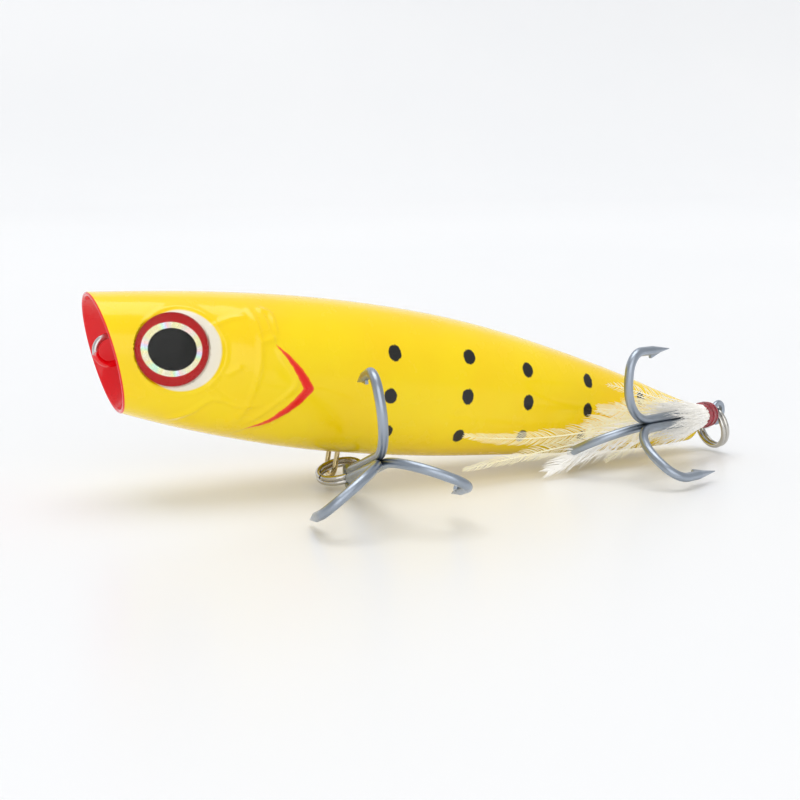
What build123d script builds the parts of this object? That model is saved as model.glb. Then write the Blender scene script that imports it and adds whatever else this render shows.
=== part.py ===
"""Topwater popper: a hollow two-shell fishing lure with a cupped mouth, two treble hooks and a dressed tail.

Row frame, millimetres: the origin is the centre of the tow eye, the nose points to -X, the tail to +X,
the fish's left side to -Y, and +Z is up. The lure lies on a flat surface below the origin, nose raised.
"""
import os
from math import cos, pi, radians, sin, sqrt

from build123d import *

# ---- the lure body, measured in its own axes: x runs from the upper lip to the tail ----
BODY_LENGTH = 135.0
LIP_TO_EYE = 5.5  # the tow eye's centre lies this far behind the upper lip
PITCH = 9.8  # nose-up lean of the body as it lies, in degrees
# (x from the upper lip, back line z, belly line z, half width)
STATIONS = [
    (-3.0, 9.6, -9.3, 9.6),
    (10.0, 11.5, -11.5, 10.9),
    (20.0, 12.8, -12.9, 12.0),
    (32.0, 14.0, -14.0, 12.8),
    (45.0, 14.8, -14.6, 13.2),
    (58.0, 15.0, -14.4, 13.1),
    (72.0, 14.5, -13.6, 12.4),
    (86.0, 13.0, -12.2, 11.0),
    (100.0, 10.7, -10.6, 9.2),
    (114.0, 7.9, -8.8, 7.2),
    (126.0, 5.0, -6.7, 5.1),
    (135.0, 2.9, -4.5, 3.4),
]
TAIL_ROUNDING = 1.2
WALL = 2.0  # thickness of the moulded shells

# ---- cupped mouth ----
UPPER_LIP = (0.0, 10.2)  # x, z
LOWER_LIP = (9.2, -11.6)
RIM_THICKNESS = 0.7
MOUTH_HALF_WIDTH = 10.5
CUP_DEPTH = 7.0
CUP_CENTRE_AHEAD = 3.6  # the bowl's centre lies this far in front of the mouth plane

# ---- chambers inside the shells: (x from, x to, lowest z kept hollow) ----
CHAMBERS = [(25.0, 37.5, -30.0), (54.5, 67.0, -30.0), (87.5, 97.5, -3.0), (99.5, 111.0, 0.8)]
BELLY_WEIGHT_RADIUS = 4.5
BELLY_WEIGHT_LENGTH = 16.0
BELLY_WEIGHT_AT = (77.0, -6.6)  # x, z of its centre
TAIL_WEIGHT_RADIUS = 3.2
TAIL_WEIGHT_LENGTH = 14.0
TAIL_WEIGHT_AT = (106.0, -4.6)
FIT_GAP = 0.05  # between a moulded pocket and what sits in it
PIN_RADIUS = 1.1
PIN_REACH = 2.5
PIN_PLACES = [(20.5, 8.4), (22.5, -9.0), (70.0, 9.3), (93.0, -7.0), (117.0, 3.9)]

# ---- rattles ----
RATTLE_TUBE_RADIUS = 4.0
RATTLE_TUBE_WALL = 0.5
RATTLE_TUBE = (38.5, 53.5, 6.8)  # x from, x to, z of its axis
RATTLE_CELL = (71.5, 86.5, 6.0)
RATTLE_CELL_RADIUS = 3.2
BALL_RADIUS = 3.0

# ---- eyes: a recessed socket, a printed disc and a clear dome on each side ----
EYE_AT = (14.0, 2.5)  # x, z
EYE_RADIUS = 6.7
EYE_FACES = (-0.12, -0.985, 0.12)  # outward, on the left side
EYE_OUT = 11.05  # sideways distance of the body's surface at the eye
SOCKET_DEPTH = 1.5
SOCKET_GAP = 0.1
BROW_RADIUS = 7.5
BROW_SHIFT = 1.75  # the shallow recess round the eye reaches further to the rear
BROW_DEPTH = 0.75
DISC_THICKNESS = 0.4
DOME_HEIGHT = 1.9
DOME_SKIRT = 0.7

# ---- through wire ----
WIRE_RADIUS = 0.6
TOW_LOOP_RADIUS = 2.6  # to the wire's centre line
LAND = 0.035  # depth of the narrow bearing band worn round the inside of each wire loop and hook eye
TAIL_LOOP_RADIUS = 2.3
TAIL_LOOP_AT = (136.4, -0.9)  # x from the upper lip, z
CRIMP_RADIUS = 1.3
CRIMP_LENGTH = 4.0
CRIMPS_AT = [21.0, 118.0]

# ---- belly hanger: a crosswise wire loop whose legs hook over the through wire ----
HANGER_AT = (52.6, -17.3)  # x from the upper lip, z of the loop's centre
HANGER_WIRE = 0.5
HANGER_LOOP_RADIUS = 2.1
HANGER_TOP = -1.2  # z where the legs end and the arch over the through wire begins

# ---- split rings: two flat coils each ----
RING_RADIUS = 4.2
RING_WIRE = 0.52
COIL_SPACING = 0.98
SLIT = 0.4
FRONT_RING_NORMAL = (-0.26, -0.12, 0.96)
REAR_RING_NORMAL = (0.965, 0.10, 0.20)
REAR_RING_BACK = 0.55  # the rear ring pulls on the rear side of the tail eye
REAR_HOOK_ANGLE = 35.0  # from the rear ring's top towards the left side, in degrees

# ---- treble hooks: distances along the shank are measured from the centre of the eye ----
HOOK_WIRE = 0.9
SHANK_LENGTH = 29.0  # to where the bends begin
BEND_RADIUS = 9.1
BEND_FLAT = 1.2
POINT_BEND_RADIUS = 3.7
POINT_LEAN = 0.45
POINT_AT = 23.6  # distance of the tips along the shank
POINT_TAPER = 6.5
BARB_AT = 5.0
HOOK_EYE_RADIUS = 2.05
HOOK_EYE_WIRE = 0.62
HOOK_EYE_FLAT = 0.48  # half thickness of the flattened eye
NECK_END = 4.6
DOUBLE_START = 5.9  # the two-point piece is brazed on from here
BLUNT_END = 0.6
BRIDGE_RADIUS = 0.5
FRONT_HOOK_AXIS = (-0.178, -0.938, 0.298)
FRONT_HOOK_UP = (-0.071, 0.314, 0.947)
REAR_HOOK_AXIS = (-0.890, -0.454, 0.048)
REAR_HOOK_UP = (0.068, -0.034, 0.997)

# ---- dressing on the rear treble ----
WRAP_FROM, WRAP_TO = 3.6, 8.4  # along the shank
WRAP_RADIUS = 2.75
HAIR_LENGTH = 19.0
HAIR_SPREAD = 5.2
FEATHER_THICKNESS = 0.5
# (name, length, width, direction of the tip as x, y, z,
#  root's distance from the shank's axis: towards the body, up)
FEATHERS = [
    ("feather_upper_long", 50.0, 3.6, (-0.985, -0.110, 0.055), (4.15, 1.6)),
    ("feather_lower_long", 50.0, 3.0, (-0.985, -0.115, -0.045), (4.15, -0.6)),
    ("feather_plume", 30.0, 4.5, (-0.970, -0.190, -0.030), (3.45, -1.0)),
    ("feather_web", 22.0, 7.0, (-0.962, -0.215, 0.090), (2.75, 1.2)),
]


def unit(v):
    """The same direction with a length of one."""
    return Vector(*v).normalized()


def plane_towards(origin, z_dir, x_dir):
    """A plane at a point, with its z along z_dir and its x as near x_dir as it can be."""
    z = unit(z_dir)
    x = Vector(*x_dir)
    return Plane(origin=origin, x_dir=x - z * x.dot(z), z_dir=z)


def body_point(x, y, z):
    """A place given from the upper lip, in the body's axes centred on the tow eye."""
    return (x - LIP_TO_EYE, y, z)


def row_point(x, y, z):
    """The same place in the row frame, with the body lying at its pitch."""
    a = radians(PITCH)
    bx = x - LIP_TO_EYE
    return Vector(bx * cos(a) + z * sin(a), y, z * cos(a) - bx * sin(a))


def laid(shape):
    """A piece made in the body's axes, leaned back to the pitch at which the lure lies."""
    return Rot(0, PITCH, 0) * shape


def one(shape):
    """The single solid of a result."""
    solids = shape.solids()
    assert len(solids) == 1, len(solids)
    return solids[0]


# ---------------------------------------------------------------- body

def body_loft(inset=0.0):
    """The lure's outer form, or the same form drawn in all round by an inset."""
    sections = []
    for x, top, belly, half_width in STATIONS:
        middle = (top + belly) / 2
        half_height = (top - belly) / 2 - inset
        centre = body_point(x, 0, middle)
        plane = Plane(origin=centre, x_dir=(0, 1, 0), z_dir=(1, 0, 0))
        sections.append(plane * Ellipse(half_width - inset, half_height))
    return loft(sections)


def mouth_plane():
    """The slanted plane of the mouth's rim, z pointing forward and out."""
    (x1, z1), (x2, z2) = UPPER_LIP, LOWER_LIP
    centre = body_point((x1 + x2) / 2, 0, (z1 + z2) / 2)
    rise = Vector(x1 - x2, 0, z1 - z2)
    return Plane(origin=centre, x_dir=(0, 1, 0), z_dir=rise.cross(Vector(0, 1, 0)))


def cup_bowl():
    """The solid that hollows the mouth: an ellipsoid centred ahead of the rim."""
    half_height = sqrt((UPPER_LIP[0] - LOWER_LIP[0]) ** 2 + (UPPER_LIP[1] - LOWER_LIP[1]) ** 2) / 2
    depth = CUP_DEPTH + CUP_CENTRE_AHEAD
    at_rim = sqrt(1 - (CUP_CENTRE_AHEAD / depth) ** 2)
    width = (MOUTH_HALF_WIDTH - RIM_THICKNESS) / at_rim
    height = (half_height - RIM_THICKNESS) / at_rim
    ball = scale(Sphere(1), by=(width, height, depth))
    return mouth_plane() * Pos(0, 0, CUP_CENTRE_AHEAD) * ball


def eye_plane(side, above=0.0):
    """A plane on the body's surface at the eye, z outward; side is -1 on the left and 1 on the right."""
    fx, fy, fz = EYE_FACES
    out = unit((fx, -side * fy, fz))
    surface = Vector(*body_point(EYE_AT[0], side * EYE_OUT, EYE_AT[1]))
    x_dir = (1, 0, 0)
    return plane_towards(surface + out * above, out, x_dir)


def eye_socket(side):
    """What is cut away for one eye: a round seat and a shallow oval recess that reaches to the rear."""
    seat = eye_plane(side, -SOCKET_DEPTH) * Cylinder(
        EYE_RADIUS + SOCKET_GAP, 12, align=(Align.CENTER, Align.CENTER, Align.MIN))
    brow = eye_plane(side, -BROW_DEPTH) * Pos(BROW_SHIFT, 0, 0) * Cylinder(
        BROW_RADIUS, 12, align=(Align.CENTER, Align.CENTER, Align.MIN))
    return seat + brow


def wire_line():
    """The straight run of the through wire, as its two ends in the body's axes."""
    front = Vector(TOW_LOOP_RADIUS, 0, 0)
    tail = Vector(*body_point(TAIL_LOOP_AT[0] - TAIL_LOOP_RADIUS, 0, TAIL_LOOP_AT[1]))
    return front, tail


def rod(start, end, radius):
    """A round bar between two points."""
    start, end = Vector(*start), Vector(*end)
    plane = Plane(origin=start, z_dir=end - start)
    return plane * Cylinder(radius, (end - start).length, align=(Align.CENTER, Align.CENTER, Align.MIN))


def crimp_plane(x):
    """A plane across the through wire at a place along the body."""
    front, tail = wire_line()
    way = (tail - front).normalized()
    bx = x - LIP_TO_EYE
    return Plane(origin=front + way * ((bx - front.X) / way.X), z_dir=way)


def loop(radius, wire, normal):
    """A closed wire loop centred on the origin."""
    plane = Plane(origin=(0, 0, 0), z_dir=normal)
    return plane * Torus(radius, wire)


def x_cylinder(radius, x_from, x_to, z):
    """A round bar along the body."""
    return rod(body_point(x_from, 0, z), body_point(x_to, 0, z), radius)


def along_x(radius, length, at):
    """A round bar along the body, centred on a place."""
    x, z = at
    return x_cylinder(radius, x - length / 2, x + length / 2, z)


def hollows():
    """Everything cut out of the inside of the two shells."""
    inner = body_loft(WALL)
    cuts = []
    for x_from, x_to, lowest in CHAMBERS:
        length = x_to - x_from
        height = 60
        box = Box(length, 60, height, align=(Align.MIN, Align.CENTER, Align.MIN))
        cuts.append(inner & (Pos(*body_point(x_from, 0, lowest)) * box))
    cuts.append(along_x(BELLY_WEIGHT_RADIUS + FIT_GAP, BELLY_WEIGHT_LENGTH + 2 * FIT_GAP, BELLY_WEIGHT_AT))
    cuts.append(along_x(TAIL_WEIGHT_RADIUS + FIT_GAP, TAIL_WEIGHT_LENGTH + 2 * FIT_GAP, TAIL_WEIGHT_AT))
    x_from, x_to, z = RATTLE_TUBE
    cuts.append(x_cylinder(RATTLE_TUBE_RADIUS + FIT_GAP, x_from - FIT_GAP, x_to + FIT_GAP, z))
    x_from, x_to, z = RATTLE_CELL
    cuts.append(x_cylinder(RATTLE_CELL_RADIUS, x_from, x_to, z))
    front, tail = wire_line()
    way = (tail - front).normalized()
    cuts.append(rod(front + way, tail + way, WIRE_RADIUS + FIT_GAP))
    for x in CRIMPS_AT:
        cuts.append(crimp_plane(x) * Cylinder(CRIMP_RADIUS + FIT_GAP, CRIMP_LENGTH + 2 * FIT_GAP))
    cuts.append(tail_loop(FIT_GAP + 0.05))
    cuts.append(hanger_shape(HANGER_WIRE + FIT_GAP))
    return cuts


def tail_loop(extra=0.0):
    """The horizontal loop that stands out of the tail."""
    return Pos(*body_point(TAIL_LOOP_AT[0], 0, TAIL_LOOP_AT[1])) * loop(
        TAIL_LOOP_RADIUS, WIRE_RADIUS + extra, (0, 0, 1))


def shells():
    """The two moulded halves, which meet on the lure's middle plane."""
    body = body_loft()
    body = fillet(body.faces().sort_by(Axis.X)[-1].edges(), TAIL_ROUNDING)
    ahead = mouth_plane() * Box(60, 60, 30, align=(Align.CENTER, Align.CENTER, Align.MIN))
    body = body - ahead - cup_bowl()
    for side in (-1, 1):
        body = body - eye_socket(side)
    for cut in hollows():
        body = body - cut
    halves = []
    for side in (-1, 1):
        room = Pos(60, side * 30, 0) * Box(200, 60, 80)
        halves.append(body & room)
    left, right = halves
    for x, z in PIN_PLACES:
        foot = Pos(*body_point(x, 0, z)) * Rot(90, 0, 0)
        right = right - foot * Cylinder(PIN_RADIUS + FIT_GAP, 2 * (PIN_REACH + 0.2))
        left = left + foot * Cylinder(PIN_RADIUS, 2 * PIN_REACH)
    return one(left), one(right)


def eye_disc(side):
    """The printed disc at the bottom of a socket."""
    return one(eye_plane(side, -SOCKET_DEPTH) * Cylinder(
        EYE_RADIUS, DISC_THICKNESS, align=(Align.CENTER, Align.CENTER, Align.MIN)))


def eye_dome(side):
    """The clear dome on the disc: a short skirt and a shallow cap."""
    cap_rise = DOME_HEIGHT - DOME_SKIRT
    cap_radius = (EYE_RADIUS ** 2 + cap_rise ** 2) / (2 * cap_rise)
    drum = Cylinder(EYE_RADIUS, DOME_HEIGHT, align=(Align.CENTER, Align.CENTER, Align.MIN))
    cap = Pos(0, 0, DOME_HEIGHT - cap_radius) * Sphere(cap_radius)
    return one(eye_plane(side, DISC_THICKNESS - SOCKET_DEPTH) * (drum & cap))


# ---------------------------------------------------------------- wire, weights and rattles

def through_wire():
    """Tow eye, spine and tail eye in one piece, with a worn band inside the tow eye."""
    front, tail = wire_line()
    land = TOW_LOOP_RADIUS - WIRE_RADIUS + LAND
    eye = loop(TOW_LOOP_RADIUS, WIRE_RADIUS, (0, 1, 0)) - Rot(90, 0, 0) * Cylinder(land, 4)
    tail_land = TAIL_LOOP_RADIUS - WIRE_RADIUS + LAND
    bearing = Pos(*body_point(TAIL_LOOP_AT[0], 0, TAIL_LOOP_AT[1])) * Cylinder(tail_land, 4)
    return one(eye + rod(front, tail, WIRE_RADIUS) + (tail_loop() - bearing))


def crimp(x):
    """A sleeve pressed round the wire."""
    sleeve = Cylinder(CRIMP_RADIUS, CRIMP_LENGTH) - Cylinder(WIRE_RADIUS, CRIMP_LENGTH)
    return one(crimp_plane(x) * sleeve)


def hanger_shape(wire):
    """The belly hanger at a given wire radius: a round loop, two legs and a bridge over the through wire."""
    x, z = HANGER_AT
    bx = x - LIP_TO_EYE
    radius = HANGER_LOOP_RADIUS
    ring = Pos(bx, 0, z) * loop(radius, wire, (1, 0, 0))
    lower = ring & (Pos(bx, 0, z) * Box(10, 20, 20, align=(Align.CENTER, Align.CENTER, Align.MAX)))
    top = Vector(bx, 0, HANGER_TOP)
    shape = lower
    for side in (-1, 1):
        shape = shape + rod((bx, side * radius, z), (bx, side * radius, HANGER_TOP), wire)
    arch = (Pos(bx, 0, HANGER_TOP) * loop(radius, wire, (1, 0, 0))) & (
        Pos(*top) * Box(10, 20, 20, align=(Align.CENTER, Align.CENTER, Align.MIN)))
    return shape + arch


def belly_hanger():
    """The hanger with a worn bearing band inside its loop."""
    x, z = HANGER_AT
    land = HANGER_LOOP_RADIUS - HANGER_WIRE + LAND
    bearing = Pos(x - LIP_TO_EYE, 0, z) * Rot(0, 90, 0) * Cylinder(land, 4)
    return one(hanger_shape(HANGER_WIRE) - bearing)


def rattle_tube():
    """The tube that the front ball runs in, open at both ends."""
    x_from, x_to, z = RATTLE_TUBE
    tube = x_cylinder(RATTLE_TUBE_RADIUS, x_from, x_to, z)
    return one(tube - x_cylinder(RATTLE_TUBE_RADIUS - RATTLE_TUBE_WALL, x_from - 1, x_to + 1, z))


def ball(run):
    """A rattle ball at the low, rear end of its run."""
    x_to, z = run[1], run[2]
    return Pos(*body_point(x_to - BALL_RADIUS - 0.1, 0, z)) * Sphere(BALL_RADIUS)


# ---------------------------------------------------------------- split rings

def split_ring():
    """Two flat coils lying on each other, each with its slit, centred on the origin."""
    ring = Part() + [Pos(0, 0, side * COIL_SPACING / 2) * Torus(RING_RADIUS, RING_WIRE) for side in (-1, 1)]
    for side in (-1, 1):
        slit = Rot(0, 0, 90 + side * 12) * Pos(RING_RADIUS, 0, side * (COIL_SPACING / 2 + 0.3))
        ring = ring - slit * Box(3, SLIT, COIL_SPACING - 0.1)
    return one(ring)


def hanger_point():
    """The centre of the belly hanger's loop in the row frame."""
    return row_point(HANGER_AT[0], 0, HANGER_AT[1])


def tail_point():
    """The centre of the tail eye in the row frame."""
    return row_point(TAIL_LOOP_AT[0], 0, TAIL_LOOP_AT[1])


def front_ring_plane():
    """The front ring lies towards the left side, with its far edge through the belly hanger."""
    plane = plane_towards((0, 0, 0), FRONT_RING_NORMAL, (0, 1, 0))
    plane.origin = hanger_point() - plane.x_dir * RING_RADIUS
    return plane


def rear_ring_plane():
    """The rear ring stands crosswise, with its far edge through the tail eye."""
    plane = plane_towards((0, 0, 0), REAR_RING_NORMAL, (0, 1, 0))
    plane.origin = tail_point() + Vector(REAR_RING_BACK, 0, 0) - plane.x_dir * RING_RADIUS
    return plane


def front_hook_place():
    """Where the front hook's eye hangs: the ring's near edge."""
    plane = front_ring_plane()
    return plane.origin - plane.x_dir * RING_RADIUS


def rear_hook_place():
    """Where the rear hook's eye hangs: near the ring's top."""
    plane = rear_ring_plane()
    up = plane.z_dir.cross(plane.x_dir)
    a = radians(REAR_HOOK_ANGLE)
    return plane.origin + (up * cos(a) - plane.x_dir * sin(a)) * RING_RADIUS


# ---------------------------------------------------------------- treble hooks

def prong(start):
    """One point with its share of the shank, in the plane y = 0: shank along z, point at positive x."""
    r0 = HOOK_WIRE * 2 / sqrt(3) + 0.01
    bend_end = SHANK_LENGTH + BEND_RADIUS
    x_flat = r0 + BEND_RADIUS + BEND_FLAT
    x_out = x_flat + POINT_BEND_RADIUS
    z_out = bend_end - POINT_BEND_RADIUS
    z_taper = POINT_AT + POINT_TAPER
    path = Wire([
        Line((r0, 0, start), (r0, 0, SHANK_LENGTH)).edge(),
        ThreePointArc((r0, 0, SHANK_LENGTH),
                      (r0 + BEND_RADIUS * (1 - cos(pi / 4)), 0, SHANK_LENGTH + BEND_RADIUS * sin(pi / 4)),
                      (r0 + BEND_RADIUS, 0, bend_end)).edge(),
        Line((r0 + BEND_RADIUS, 0, bend_end), (x_flat, 0, bend_end)).edge(),
        ThreePointArc((x_flat, 0, bend_end),
                      (x_flat + POINT_BEND_RADIUS * sin(pi / 4), 0,
                       bend_end - POINT_BEND_RADIUS * (1 - cos(pi / 4))),
                      (x_out, 0, z_out)).edge(),
        Line((x_out, 0, z_out), (x_out, 0, z_taper)).edge(),
    ])
    section = Plane(origin=(r0, 0, start), z_dir=(0, 0, 1)) * Circle(HOOK_WIRE)
    wire = sweep(section, path=path)
    tip = Vector(x_out - POINT_LEAN + HOOK_WIRE * 0.55, 0, POINT_AT)
    shoulder = Plane(origin=(x_out, 0, z_taper), x_dir=(1, 0, 0), z_dir=(0, 0, -1))
    point_plane = Plane(origin=tip, x_dir=(1, 0, 0), z_dir=(0, 0, -1))
    point = loft([shoulder * Circle(HOOK_WIRE), point_plane * Circle(0.08)])
    return wire + point + barb(x_out, z_taper)


def barb(x, z):
    """The small wedge raised on the inner side of a point."""
    inner = x - HOOK_WIRE * 0.55
    outline = Polyline((inner + 0.6, 0, z + 1.2), (inner - 1.0, 0, z + 0.7),
                       (inner + 0.1, 0, z - 3.0), (inner + 0.6, 0, z - 3.0), close=True)
    face = make_face(outline)
    return extrude(face, 0.28, dir=(0, 1, 0), both=True)


def hook_eye():
    """The flattened round eye, its hole along y."""
    ring = loop(HOOK_EYE_RADIUS, HOOK_EYE_WIRE, (0, 1, 0))
    land = HOOK_EYE_RADIUS - HOOK_EYE_WIRE + LAND
    return (ring & Box(12, 2 * HOOK_EYE_FLAT, 12)) - Rot(90, 0, 0) * Cylinder(land, 4)


def hook_neck():
    """The web where the eye's wire runs back down beside the shank."""
    r0 = HOOK_WIRE * 2 / sqrt(3) + 0.01
    low = HOOK_EYE_RADIUS + HOOK_EYE_WIRE * 0.6
    top_plane = Plane(origin=(0, 0, low), z_dir=(0, 0, 1))
    foot_plane = Plane(origin=(r0, 0, NECK_END), z_dir=(0, 0, 1))
    return loft([top_plane * Ellipse(1.7, HOOK_EYE_FLAT), foot_plane * Circle(HOOK_WIRE)])


def eyed_hook():
    """The single hook of a treble, which also carries the eye."""
    return one(hook_eye() + hook_neck() + prong(NECK_END))


def double_hook():
    """The two-point piece brazed beside the single hook; its wires start in blunt ends joined by a bridge."""
    r0 = HOOK_WIRE * 2 / sqrt(3) + 0.01
    end = Pos(r0, 0, DOUBLE_START) * Rot(180, 0, 0) * Cone(
        HOOK_WIRE, HOOK_WIRE * 0.5, BLUNT_END, align=(Align.CENTER, Align.CENTER, Align.MIN))
    arm = prong(DOUBLE_START) + end
    bridge_at = DOUBLE_START + HOOK_WIRE
    bridge = rod((-r0 / 2, -HOOK_WIRE, bridge_at), (-r0 / 2, HOOK_WIRE, bridge_at), BRIDGE_RADIUS)
    return one(Rot(0, 0, 120) * arm + Rot(0, 0, -120) * arm + bridge)


def hook_plane(place, axis, up):
    """A hook's own frame: z down the shank, x towards the single hook's point."""
    return plane_towards(place, axis, up)


# ---------------------------------------------------------------- dressing

def thread_wrap():
    """The barrel of thread round the shanks, below the eye."""
    length = WRAP_TO - WRAP_FROM
    barrel = Cylinder(WRAP_RADIUS, length)
    barrel = fillet(barrel.edges(), 0.6)
    bundle = HOOK_WIRE * (1 + 2 / sqrt(3)) + 0.06
    return one(Pos(0, 0, (WRAP_FROM + WRAP_TO) / 2) * (barrel - Cylinder(bundle, length)))


def hair_bundle():
    """The stiff hair that leaves the wrap and fans out round the shanks."""
    bundle = HOOK_WIRE * (1 + 2 / sqrt(3)) + 0.06
    z_end = WRAP_TO + HAIR_LENGTH
    outer = loft([
        Plane(origin=(0, 0, WRAP_TO)) * Circle(bundle + 0.35),
        Plane(origin=(0, 0, WRAP_TO + HAIR_LENGTH * 0.35)) * Circle(HAIR_SPREAD * 0.62),
        Plane(origin=(0, 0, z_end)) * Circle(HAIR_SPREAD),
    ])
    from_root = (Align.CENTER, Align.CENTER, Align.MIN)
    core = Pos(0, 0, WRAP_TO - 1) * Cylinder(bundle, HAIR_LENGTH + 2, align=from_root)
    return one(outer - core)


def feather(length, width, tip_dir, root):
    """One flat feather: a slim blade from its root, lying in a nearly upright plane."""
    along = unit(tip_dir)
    plane = Plane(origin=root, x_dir=along, z_dir=Vector(0, 0, 1).cross(along))
    edge = Spline((0.0, 0.45), (length * 0.3, width / 2), (length * 0.7, width * 0.42), (length, 0.3))
    outline = Curve() + [
        edge,
        mirror(edge, about=Plane.XZ),
        Line((0.0, 0.45), (0.0, -0.45)),
        Line((length, 0.3), (length, -0.3)),
    ]
    blade = extrude(make_face(outline), FEATHER_THICKNESS / 2, dir=(0, 0, 1), both=True)
    return one(plane.location * blade)


def build():
    """Every sub-part by name, in the row frame."""
    left, right = shells()
    parts = {
        "left_shell": laid(left),
        "right_shell": laid(right),
        "through_wire": laid(through_wire()),
        "belly_hanger": laid(belly_hanger()),
        "belly_weight": laid(along_x(BELLY_WEIGHT_RADIUS, BELLY_WEIGHT_LENGTH, BELLY_WEIGHT_AT)),
        "tail_weight": laid(along_x(TAIL_WEIGHT_RADIUS, TAIL_WEIGHT_LENGTH, TAIL_WEIGHT_AT)),
        "rattle_tube": laid(rattle_tube()),
        "rattle_ball_front": laid(ball(RATTLE_TUBE)),
        "rattle_ball_rear": laid(ball(RATTLE_CELL)),
    }
    for name, x in zip(("front_crimp", "rear_crimp"), CRIMPS_AT):
        parts[name] = laid(crimp(x))
    for name, side in (("left", -1), ("right", 1)):
        parts[name + "_eye_disc"] = laid(eye_disc(side))
        parts[name + "_eye_dome"] = laid(eye_dome(side))
    ring, single, double = split_ring(), eyed_hook(), double_hook()
    front = hook_plane(front_hook_place(), FRONT_HOOK_AXIS, FRONT_HOOK_UP)
    rear = hook_plane(rear_hook_place(), REAR_HOOK_AXIS, REAR_HOOK_UP)
    parts["front_split_ring"] = front_ring_plane().location * ring
    parts["rear_split_ring"] = rear_ring_plane().location * ring
    for name, plane in (("front", front), ("rear", rear)):
        parts[name + "_hook_single"] = plane.location * single
        parts[name + "_hook_double"] = plane.location * double
    parts["thread_wrap"] = rear.location * thread_wrap()
    parts["hair_bundle"] = rear.location * hair_bundle()
    tie = rear.origin + rear.z_dir * (WRAP_TO + 0.1)
    inward = rear.z_dir.cross(Vector(0, 0, 1)).normalized()
    for name, length, width, tip_dir, (in_by, up_by) in FEATHERS:
        root = tie + inward * in_by + inward.cross(rear.z_dir) * up_by
        parts[name] = feather(length, width, tip_dir, root)
    return parts


def main():
    """Write one STEP file for each sub-part."""
    os.makedirs("parts", exist_ok=True)
    for name, shape in build().items():
        export_step(shape, f"parts/{name}.step")


main()
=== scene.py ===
import random
from math import cos, pi, radians, sin, sqrt

import bmesh
import bpy
import numpy as np
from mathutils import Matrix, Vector


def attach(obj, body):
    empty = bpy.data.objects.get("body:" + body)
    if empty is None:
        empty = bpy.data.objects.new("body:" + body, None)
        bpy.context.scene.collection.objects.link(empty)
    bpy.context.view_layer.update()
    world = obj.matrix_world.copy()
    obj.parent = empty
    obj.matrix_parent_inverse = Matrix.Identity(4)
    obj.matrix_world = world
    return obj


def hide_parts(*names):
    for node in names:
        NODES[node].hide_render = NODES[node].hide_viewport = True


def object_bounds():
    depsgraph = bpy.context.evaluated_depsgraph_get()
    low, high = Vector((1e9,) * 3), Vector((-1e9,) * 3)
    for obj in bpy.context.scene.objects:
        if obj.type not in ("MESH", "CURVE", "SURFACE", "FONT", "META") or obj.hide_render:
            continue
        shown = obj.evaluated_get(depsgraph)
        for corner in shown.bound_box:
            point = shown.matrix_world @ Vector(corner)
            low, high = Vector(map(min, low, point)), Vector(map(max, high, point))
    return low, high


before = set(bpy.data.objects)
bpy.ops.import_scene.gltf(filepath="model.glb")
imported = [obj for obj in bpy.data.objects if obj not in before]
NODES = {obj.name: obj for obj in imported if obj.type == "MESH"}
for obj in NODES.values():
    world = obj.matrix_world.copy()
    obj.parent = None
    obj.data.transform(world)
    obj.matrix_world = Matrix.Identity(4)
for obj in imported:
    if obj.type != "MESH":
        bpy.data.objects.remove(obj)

CAD_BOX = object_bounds()
MM = 0.001

# ---- the body's form, the same driving sizes as the CAD, in millimetres from the upper lip ----
LIP_TO_EYE = 5.5
PITCH = radians(9.8)
# x, back line z, belly line z, half width
STATIONS = np.array([
    (-3.0, 9.6, -9.3, 9.6),
    (10.0, 11.5, -11.5, 10.9),
    (20.0, 12.8, -12.9, 12.0),
    (32.0, 14.0, -14.0, 12.8),
    (45.0, 14.8, -14.6, 13.2),
    (58.0, 15.0, -14.4, 13.1),
    (72.0, 14.5, -13.6, 12.4),
    (86.0, 13.0, -12.2, 11.0),
    (100.0, 10.7, -10.6, 9.2),
    (114.0, 7.9, -8.8, 7.2),
    (126.0, 5.0, -6.7, 5.1),
    (135.0, 2.9, -4.5, 3.4),
])
BODY_END = 135.0
TAIL_ROUNDING = 1.2
UPPER_LIP = np.array([0.0, 10.2])
LOWER_LIP = np.array([9.2, -11.6])
RIM = 0.8
CUP_DEPTH = 7.0
CUP_AHEAD = 3.6
EYE_AT = np.array([14.0, 2.5])
EYE_RADIUS = 6.7
EYE_OUT = 11.05
EYE_FACES = np.array([-0.12, 0.985, 0.12])  # outward, with y taken on the side's own sign
SOCKET_DEPTH = 1.5
BROW_RADIUS = 7.6
BROW_SHIFT = 1.75
BROW_DEPTH = 0.75

# ---- painted and embossed features, as seen from the side: x from the upper lip, z ----
GILL_MARK = np.array([(33.1, 5.6), (35.3, 3.9), (37.3, 2.0), (38.9, 0.2), (40.3, -1.6),
                      (38.9, -3.8), (37.0, -6.1), (34.3, -8.7), (30.7, -10.9)])
EMBOSSED = [  # (height in mm, half width in mm, points)
    (0.26, 0.55, [(28.4, 11.0), (29.8, 7.0), (30.2, 2.0), (29.9, -2.0), (29.3, -5.8), (28.4, -9.0)]),
    (0.22, 0.45, [(20.6, 7.1), (24.0, 8.9), (27.8, 9.9)]),
    (0.24, 0.45, [(30.2, 11.5), (32.4, 10.8), (33.2, 7.4)]),
    (0.22, 0.45, [(30.3, 5.6), (33.0, 6.9)]),
    (0.28, 0.50, [(33.4, 5.0), (37.6, -0.5), (34.2, -5.2), (30.4, -9.2)]),
    (0.30, 0.50, [(16.4, -10.8), (19.6, -8.7), (21.6, -6.4), (22.9, -5.6), (24.5, -5.7)]),
    (0.28, 0.50, [(20.6, -3.0), (24.3, -5.2), (27.1, -6.1), (31.7, -5.6)]),
    (0.26, 0.50, [(24.0, -1.0), (25.4, 0.0), (26.8, 1.0)]),
]
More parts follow.
